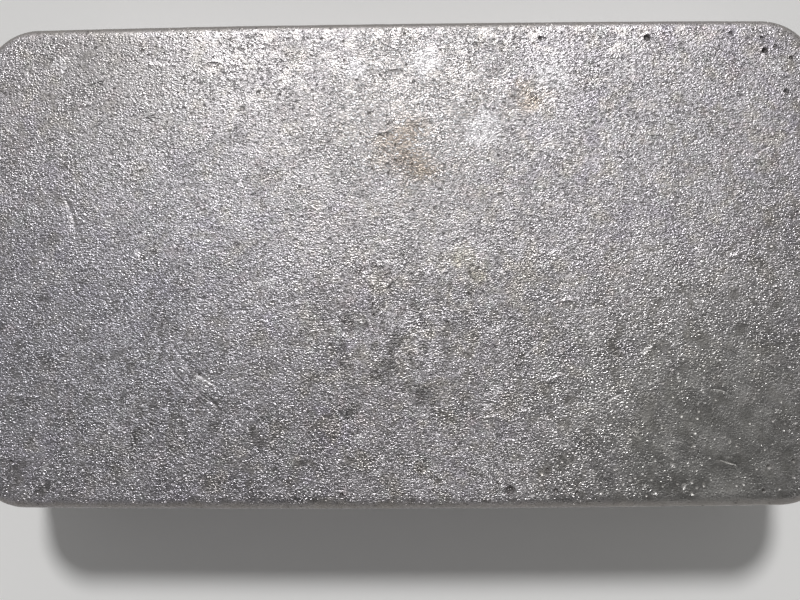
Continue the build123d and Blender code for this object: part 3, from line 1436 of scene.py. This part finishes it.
@dataclass(frozen=True)
class CastBar:
    """The bar's one piece, knitted from three sheets of skin and dressed.

    A step is the distance between points of a sheet's border, a gap that between the plain
    points inside it, and a clearance is what these keep from the marks.
    """

    form: BarForm
    finish: bpy.types.Material
    top_step: float = 0.52
    bottom_step: float = 1.1
    mould_gap: float = 0.74
    wall_gap: float = 1.15
    open_gap: float = 1.5
    mould_clearance: float = 0.3
    wall_clearance: float = 0.35
    open_clearance: float = 0.4
    row_share: float = 0.87
    shake: float = 0.22
    wall_shake: float = 0.15
    wall_stretch: float = 1.5
    lower_rows: int = 7
    upper_rows: int = 6
    seam_margin: float = 0.3
    deepest: float = 0.3
    weld_distance: float = 2e-3
    wide_pits: PitCrop = PitCrop(3.6, 0.28, 0.5, 0.22, 8, 5, 0.5, 21, calm=0.9)
    fine_pits: PitCrop = PitCrop(1.03, 0.17, 0.32, 0.16, 6, 3, 0.9, 22, calm=0.8)
    open_pits: PitCrop = PitCrop(4.5, 0.28, 0.6, 0.2, 6, 3, 0.5, 31)
    wall_pits: PitCrop = PitCrop(2.0, 0.2, 0.42, 0.16, 6, 3, 0.6, 41)
    blowholes: tuple[Blowhole, ...] = (
        Blowhole(end=1, side=1, end_inset=26.6, side_inset=1.8, mouth_radius=0.55, depth=0.5),
        Blowhole(end=1, side=1, end_inset=7.6, side_inset=4.2, mouth_radius=0.45, depth=0.45),
        Blowhole(end=1, side=1, end_inset=4.4, side_inset=11.1, mouth_radius=0.4, depth=0.35),
        Blowhole(end=1, side=-1, end_inset=9.8, side_inset=4.9, mouth_radius=0.35, depth=0.3),
        Blowhole(end=1, side=-1, end_inset=43.1, side_inset=1.3, mouth_radius=0.35, depth=0.35),
        Blowhole(end=1, side=-1, end_inset=50.2, side_inset=1.4, mouth_radius=0.8, depth=0.45),
    )
    pinpricks: tuple[Spot, ...] = (
        (23.5, 36.4, 0.3), (54.6, 36.9, 0.3), (59.6, 36.0, 0.28), (61.8, 34.5, 0.36),
        (64.2, 32.6, 0.3), (61.7, -32.3, 0.3), (27.8, -37.1, 0.28), (56.9, -36.9, 0.26),
        (23.3, -33.5, 0.26), (-23.5, -36.7, 0.3), (-9.2, -37.2, 0.26), (-61.9, -31.9, 0.28),
    )
    pinprick_depth: float = 0.3
    strokes: tuple[Stroke, ...] = (
        Stroke((-38.3, -14.3), (-31.5, -21.5), sag=-0.8),
        Stroke((-36.6, -13.0), (-29.3, -20.1), sag=-0.7, depth=0.09),
        Stroke((-34.0, -18.2), (-29.3, -23.1), sag=-0.5),
        Stroke((11.8, -23.2), (14.4, -23.3), sag=0.15),
        Stroke((13.1, -25.4), (16.7, -25.5), sag=0.2, depth=-0.05),
        Stroke((16.0, -28.7), (18.0, -28.7), sag=0.1),
        Stroke((20.0, -15.7), (22.5, -13.6), sag=0.2),
        Stroke((23.6, -19.6), (26.0, -18.7), sag=0.1, depth=-0.05),
        Stroke((32.8, -23.0), (34.7, -21.9), sag=0.1),
        Stroke((13.3, -38.0), (18.2, -37.3), sag=0.15, half_width=0.35, depth=-0.06),
        Stroke((-50.9, 29.3), (-47.8, 30.3), sag=0.15, half_width=0.18, depth=-0.07),
        Stroke((-47.3, 18.3), (-45.3, 18.7), sag=0.1, half_width=0.18, depth=-0.07),
        Stroke((-43.9, 14.6), (-40.9, 15.4), sag=0.1, half_width=0.16, depth=-0.06),
        Stroke((-42.5, 23.6), (-39.4, 24.8), sag=-0.2, half_width=0.18, depth=-0.07),
        Stroke((-54.3, 10.2), (-52.5, 4.4), sag=0.4, half_width=0.3, depth=0.1),
    )

    # The flow marks strewn by chance: how many, over how much of the half length and width,
    # how far they turn from the bar's length, and what each is like
    flow_marks: int = 70
    flow_reach: tuple[float, float] = (0.94, 0.9)
    flow_swing: float = 0.5
    flow_length: Span = (0.9, 3.2)
    flow_depth: Span = (0.04, 0.08)
    flow_ways: tuple[float, ...] = (-1.0, -1.0, 1.0)
    flow_sag: float = 0.15
    flow_width: Span = (0.12, 0.2)

    def build(self) -> bpy.types.Object:
        """Makes the bar.

        Returns:
            The finished object.
        """
        scatter = PitScatter()
        parts = [self._mould_face(scatter), self._walls(scatter), self._open_face(scatter)]
        piece = put_in_scene("bar_casting", self._join(parts))
        piece.data = SkinWaves().build(piece, self.finish)
        piece.data.name = "bar_casting"
        return piece

    def _loop(self, step: float, inset: float) -> tuple[np.ndarray, np.ndarray]:
        """Evenly spaced points round the outline.

        Args:
            step: About how far apart they are.
            inset: How far inside the outline they lie.

        Returns:
            The points, and how far along the outline each lies.
        """
        girth = self.form.girth()
        count = round(girth / step)
        along = np.arange(count) * girth / count
        points, normals = self.form.outline(along)
        return points - inset * normals, along

    def _grid(self, gap: float, seed: int) -> np.ndarray:
        """A shaken grid of staggered rows over the bar.

        Args:
            gap: How far apart its points are.
            seed: The seed of the shaking.

        Returns:
            The points, one row each.
        """
        half_length, half_width = self.form.half_length, self.form.half_width
        chance = np.random.default_rng(seed)
        rows = []
        for number, y in enumerate(np.arange(-half_width, half_width, gap * self.row_share)):
            x = np.arange(-half_length, half_length, gap) + (number % 2) * gap / 2
            rows.append(np.column_stack([x, np.full(len(x), y)]))
        places = np.concatenate(rows)
        return places + chance.uniform(-self.shake, self.shake, places.shape) * gap

    def _face_stars(self, scatter: PitScatter, crop: PitCrop) -> np.ndarray:
        """One crop of pits over a face."""
        length, width = 2 * self.form.half_length, 2 * self.form.half_width
        return scatter.stars(length, width, crop, self.finish)

    def _face_sheet(self, skin: Skin, step: float, inset: float, seed: int) -> SkinSheet:
        """An empty sheet for a face whose flat begins at an inset."""
        border, _ = self._loop(step, inset)
        return SkinSheet(skin, border, lambda places: self.form.inset(places) - inset, seed)

    def _mould_face(self, scatter: PitScatter) -> Patch:
        """The flat, pitted face on top.

        Args:
            scatter: What scatters the pits.

        Returns:
            The face.
        """
        form = self.form
        inset = form.mould_flat_inset()
        sheet = self._face_sheet(Skin.MOULD_FACE, self.top_step, inset, seed=3)
        for hole in self.blowholes:
            x = hole.end * (form.half_length - inset - hole.end_inset)
            y = hole.side * (form.half_width - inset - hole.side_inset)
            sheet.add_ring_hole((x, y), hole.mouth_radius, hole.depth)
        for x, y, radius in self.pinpricks:
            sheet.add_ring_hole((x, y), radius, self.pinprick_depth)
        for stroke in self.strokes + self._chance_strokes():
            sheet.add_stroke(stroke)
        sheet.add_pits(self._face_stars(scatter, self.wide_pits), own_ground=True)
        sheet.add_pits(self._face_stars(scatter, self.fine_pits))
        sheet.fill(self._grid(self.mould_gap, seed=4), self.mould_clearance)
        places, sunk, faces = sheet.knit()
        points = np.column_stack([places, form.thickness - sunk])
        return Patch(points, sunk, form.inset(places) - inset, faces)

    def _chance_strokes(self) -> tuple[Stroke, ...]:
        """Short flow marks strewn over the mould face, about one in three of them a groove.

        Returns:
            The marks.
        """
        chance = np.random.default_rng(12)
        reach_x, reach_y = self.flow_reach
        strokes = []
        for _ in range(self.flow_marks):
            x = chance.uniform(-reach_x, reach_x) * self.form.half_length
            y = chance.uniform(-reach_y, reach_y) * self.form.half_width
            angle = chance.normal(0.0, self.flow_swing)
            length = chance.uniform(*self.flow_length)
            run = np.array([math.cos(angle), math.sin(angle)]) * length
            depth = chance.uniform(*self.flow_depth) * chance.choice(self.flow_ways)
            sag = chance.uniform(-self.flow_sag, self.flow_sag) * length
            width = chance.uniform(*self.flow_width)
            strokes.append(Stroke((x, y), (x + run[0], y + run[1]), sag, width, depth))
        return tuple(strokes)

    def _open_face(self, scatter: PitScatter) -> Patch:
        """The face below, with the oval hollow that shrinkage left.

        Args:
            scatter: What scatters the pits.

        Returns:
            The face.
        """
        form = self.form
        inset = form.open_flat_inset()
        sheet = self._face_sheet(Skin.OPEN_FACE, self.bottom_step, inset, seed=5)
        sheet.add_pits(self._face_stars(scatter, self.open_pits))
        sheet.fill(self._grid(self.open_gap, seed=6), self.open_clearance)
        places, sunk, faces = sheet.knit()
        points = np.column_stack([places, form.hollow(places) + sunk])
        turned = [face[::-1] for face in faces]
        return Patch(points, sunk, form.inset(places) - inset, turned)

    def _walls(self, scatter: PitScatter) -> Patch:
        """The drafted walls with the rounded edges above and below them.

        They are knitted unrolled, as a sheet that is as long as the outline and as high as the
        profile, and then folded round the bar.

        Args:
            scatter: What scatters the pits.

        Returns:
            The walls.
        """
        form = self.form
        girth, climb = form.girth(), form.profile_length()
        _, low = self._loop(self.bottom_step, 0.0)
        _, high = self._loop(self.top_step, 0.0)
        seam = self._rows()
        border = np.concatenate([
            np.column_stack([np.append(low, girth), np.zeros(len(low) + 1)]),
            np.column_stack([np.full(len(seam), girth), seam]),
            np.column_stack([np.append(high, girth)[::-1], np.full(len(high) + 1, climb)]),
            np.column_stack([np.zeros(len(seam)), seam[::-1]]),
        ])
        size = np.array([girth, climb])
        sheet = SkinSheet(
            Skin.WALLS, border, lambda places: np.minimum(places, size - places).min(axis=1), seed=8
        )
        stars = scatter.stars(girth, climb, self.wall_pits, self.finish)
        stars[:, :, :2] += size / 2
        sheet.add_pits(stars)
        sheet.fill(self._wall_filler(seam), self.wall_clearance)
        places, sunk, faces = sheet.knit()
        points, normals = form.outline(places[:, 0])
        inset, height, lean = form.profile(places[:, 1])
        plan = points - inset[:, None] * normals
        out = np.column_stack([normals * lean[:, :1], lean[:, 1]])
        points = np.column_stack([plan, height]) - sunk[:, None] * out
        return Patch(points, sunk, form.from_rounds(places[:, 1]), faces)

    def _rows(self) -> np.ndarray:
        """The rows of the walls' points, which lie closer together on the rounds.

        Returns:
            How far up the profile each row lies.
        """
        climb = self.form.profile_length()
        low, high = self.form.lower_round(), climb - self.form.upper_round()
        rounds_low = np.linspace(0, low, self.lower_rows)[1:]
        wall = np.linspace(low, high, round((high - low) / self.wall_gap))[1:-1]
        rounds_high = np.linspace(high, climb, self.upper_rows)[:-1]
        return np.concatenate([rounds_low, wall, rounds_high])

    def _wall_filler(self, rows: np.ndarray) -> np.ndarray:
        """Plain points along each row of the walls.

        Args:
            rows: How far up the profile each row lies.

        Returns:
            The points on the unrolled walls.
        """
        girth = self.form.girth()
        chance = np.random.default_rng(9)
        places = []
        for number, (row, near) in enumerate(zip(rows, np.diff(rows, prepend=0.0))):
            step = min(self.wall_gap, near * self.wall_stretch)
            along = np.arange(step, girth - step / 2, step) + (number % 2) * step / 2
            shake = chance.uniform(-self.wall_shake, self.wall_shake, len(along))
            along = along + shake * step
            along = along[along < girth - self.seam_margin]
            places.append(np.column_stack([along, np.full(len(along), row)]))
        return np.concatenate(places)

    def _join(self, patches: list[Patch]) -> bpy.types.Mesh:
        """Joins the patches along their borders into one closed skin.

        Args:
            patches: The patches.

        Returns:
            The mesh, whose points are told how far they are sunk and how far from an edge.
        """
        faces, start = [], 0
        for patch in patches:
            faces += [tuple(start + corner for corner in face) for face in patch.faces]
            start += len(patch.points)
        points = np.concatenate([patch.points for patch in patches]) * MM
        mesh = bpy.data.meshes.new("bar_casting")
        mesh.from_pydata(points.tolist(), [], faces)
        sunk = np.concatenate([patch.sunk for patch in patches]) / self.deepest
        from_edge = np.concatenate([patch.from_edge for patch in patches])
        for name, values in (("sunk", np.clip(sunk, 0, 1)), ("from_edge", from_edge)):
            attribute = mesh.attributes.new(name, "FLOAT", "POINT")
            attribute.data.foreach_set("value", values.astype(np.float32))
        weld_doubles(mesh, self.weld_distance * MM)
        return mesh


@dataclass(frozen=True)
class Viewpoint:
    """Where the photograph was taken from: close above the bar, nearly straight down."""

    distance: float = 125.77
    aim_x: float = 0.234
    aim_y: float = -6.58
    roll: float = math.radians(0.436)
    tilt_x: float = math.radians(-4.506)
    tilt_y: float = math.radians(-0.962)
    focal_pixels: float = 785.0
    picture_width: float = 800.0
    sensor_width: float = 36.0
    clip: Span = (0.001, 20.0)

    def build(self, top: float) -> bpy.types.Object:
        """Makes the camera.

        Args:
            top: The height of the mould face.

        Returns:
            The camera, which is the scene's.
        """
        data = bpy.data.cameras.new("photograph")
        data.sensor_width = self.sensor_width
        data.lens = self.focal_pixels * self.sensor_width / self.picture_width
        data.clip_start, data.clip_end = self.clip
        camera = put_in_scene("photograph", data)
        turn = (
            Matrix.Rotation(self.tilt_y, 3, "Y")
            @ Matrix.Rotation(self.tilt_x, 3, "X")
            @ Matrix.Rotation(self.roll, 3, "Z")
        ).transposed()
        aim = Vector((self.aim_x, self.aim_y, top))
        place = (aim + turn @ Vector((0, 0, self.distance))) * MM
        camera.matrix_world = Matrix.Translation(place) @ turn.to_4x4()
        bpy.context.scene.camera = camera
        return camera


@dataclass(frozen=True)
class Studio:
    """The pale floor, and the soft light of a lamp behind the bar and of the room round it."""

    floor_size: float = 60.0
    floor_colour: Colour = (0.92, 0.915, 0.905)
    floor_roughness: float = 0.9
    lamp_lean: float = math.radians(36.0)
    lamp_turn: float = math.radians(3.0)
    lamp_spread: float = math.radians(8.0)
    lamp_strength: float = 1.73
    light: Colour = (1.0, 0.995, 0.985)
    room: float = 0.06
    backdrop: float = 0.6
    backdrop_height: Span = (0.75, 0.25)
    glow: float = 0.18
    glow_centre: tuple[float, float] = (0.02, 0.42)
    glow_narrowness: float = 0.6
    glow_reach: float = 0.85
    glow_height: Span = (0.3, 0.9)

    def build(self) -> None:
        """Lays the floor, hangs the lamp and sets the world."""
        self._floor()
        self._lamp()
        self._world()

    def _floor(self) -> None:
        """A plain floor, under the bar."""
        half = self.floor_size / 2
        corners = [(-half, -half, 0), (half, -half, 0), (half, half, 0), (-half, half, 0)]
        mesh = bpy.data.meshes.new("floor")
        mesh.from_pydata(corners, [], [(0, 1, 2, 3)])
        floor = put_in_scene("floor", mesh)
        inputs = {"Base Color": self.floor_colour, "Roughness": self.floor_roughness}
        mesh.materials.append(FinishTree("pale_floor").close(inputs))

    def _lamp(self) -> None:
        """Hangs one far, soft lamp behind the bar."""
        lamp = bpy.data.lights.new("key", "SUN")
        lamp.angle = self.lamp_spread
        lamp.energy = self.lamp_strength
        put_in_scene("key", lamp).rotation_euler = (-self.lamp_lean, 0.0, self.lamp_turn)

    def _world(self) -> None:
        """The room: a pale backdrop all round, and dim overhead but for a glow."""
        world = bpy.data.worlds.new("room")
        bpy.context.scene.world = world
        world.use_nodes = True
        sheet = NodeSheet(world.node_tree)
        toward = sheet.add("ShaderNodeTexCoord", output="Generated")
        x, y, up = (sheet.part(toward, axis) for axis in "XYZ")
        aside = (x - self.glow_centre[0]) * self.glow_narrowness
        ahead = y - self.glow_centre[1]
        reach = sheet.maths("SQRT", aside * aside + ahead * ahead)
        glow = sheet.ramp(reach, self.glow_reach, 0.0) * sheet.ramp(up, *self.glow_height)
        backdrop = sheet.ramp(up, *self.backdrop_height)
        strength = self.room + (self.glow - self.room) * glow
        strength = strength + (self.backdrop - self.room) * backdrop
        back = sheet.add("ShaderNodeBackground", inputs={"Color": self.light, "Strength": strength})
        sheet.add("ShaderNodeOutputWorld", inputs={"Surface": back})


def main() -> None:
    """Builds the bar, its surroundings and the camera, and reports each."""
    logging.basicConfig(level=logging.INFO, format="%(name)s: %(message)s")
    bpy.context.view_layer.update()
    form = BarForm.from_frame()
    Viewpoint().build(form.thickness)
    log.info("camera placed")
    Studio().build()
    log.info("studio lit")
    bar = CastBar(form, CastSilver().build()).build()
    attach(bar, BODY)
    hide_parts(BAR_NODE)
    log.info("%s: %d triangles", bar.name, len(bar.data.polygons))
    bpy.context.scene.view_settings.view_transform = "Standard"


if __name__ == "__main__":
    main()
